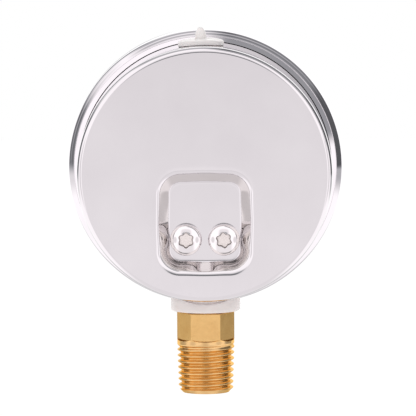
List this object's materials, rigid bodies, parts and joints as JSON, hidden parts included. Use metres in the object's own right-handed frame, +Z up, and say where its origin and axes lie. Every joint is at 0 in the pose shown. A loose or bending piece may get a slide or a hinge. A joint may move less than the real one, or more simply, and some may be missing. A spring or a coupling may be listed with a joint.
{
  "type": "pressure gauge",
  "caption": "Round stainless Bourdon-tube pressure gauge with a bottom brass hexagon stem, taper thread, crimped bezel, fill plug and a geared pointer movement.",
  "frame": {"origin": "on the stem's axis, at the open end of its thread", "axes": "+Z up along the stem towards the case, -Y out of the dial, +Y out of the back of the case, +X to the right when facing the dial"},
  "size_m": [0.0662, 0.0329, 0.0878],
  "materials": {
    "case_steel": "polished",
    "polished_steel": "polished",
    "brass": "machined",
    "bronze": "drawn",
    "white_polymer": "translucent satin",
    "milky_silicone": "translucent satin",
    "black_rubber": "matte",
    "clear_window": "clear",
    "white_enamel": "satin",
    "black_enamel": "satin"
  },
  "bodies": {
    "housing": {"case": "case_steel", "bezel": "polished_steel", "window": "clear_window", "window_gasket": "black_rubber", "socket": "brass", "stem_gasket": "white_polymer", "restrictor_screw": "brass", "case_screw_1": "polished_steel", "case_screw_2": "polished_steel", "screw_seal_1": "black_rubber", "screw_seal_2": "black_rubber", "bourdon_tube": "bronze", "movement_back_plate": "brass", "movement_front_plate": "brass", "pillar_1": "brass", "pillar_2": "brass", "pillar_3": "brass", "plate_screw_1": "polished_steel", "plate_screw_2": "polished_steel", "plate_screw_3": "polished_steel", "movement_screw_1": "polished_steel", "movement_screw_2": "polished_steel", "hairspring": "bronze", "hairspring_stud": "brass", "dial": "white_enamel", "dial_screw_1": "polished_steel", "dial_screw_2": "polished_steel", "stop_pin": "brass"},
    "pointer": {"pointer": "black_enamel", "pointer_hub": "brass", "pinion_arbor": "polished_steel", "hairspring_collet": "brass"},
    "sector": {"sector_gear": "brass", "sector_arbor": "polished_steel", "link_pin": "polished_steel"},
    "tube_tip": {"tube_tip": "brass", "tip_pin": "polished_steel"},
    "link": {"link": "case_steel"},
    "plug": {"fill_plug": "milky_silicone"}
  },
  "joints": [
    {"name": "pointer_spin", "type": "hinge", "parent": "housing", "child": "pointer", "pos_m": [0, -0.0144, 0.05325], "axis": [0, 1, 0], "range_deg": [0, 270], "stiffness_Nm_per_rad": 0.0002, "springref_deg": -11.46, "deforming": ["hairspring"]},
    {"name": "sector_swing", "type": "hinge", "parent": "housing", "child": "sector", "pos_m": [0, -0.0079, 0.03525], "axis": [0, 1, 0], "range_deg": [-30, 0]},
    {"name": "tip_travel", "type": "hinge", "parent": "housing", "child": "tube_tip", "pos_m": [0.00225, 0, 0.06172], "axis": [0, 1, 0], "range_deg": [-6.4, 0], "deforming": ["bourdon_tube"]},
    {"name": "link_swing", "type": "hinge", "parent": "sector", "child": "link", "pos_m": [0.00219, -0.0066, 0.03021], "axis": [0, 1, 0], "range_deg": [0, 30]},
    {"name": "plug_lift", "type": "slide", "parent": "housing", "child": "plug", "axis": [0.0262, 0, 0.9997], "range_m": [0, 0.005]}
  ],
  "couplings": [
    {"joint": "sector_swing", "follows": "pointer_spin", "ratio": -0.11111},
    {"joint": "tip_travel", "follows": "pointer_spin", "ratio": -0.023704},
    {"joint": "link_swing", "follows": "pointer_spin", "ratio": 0.11111}
  ]
}
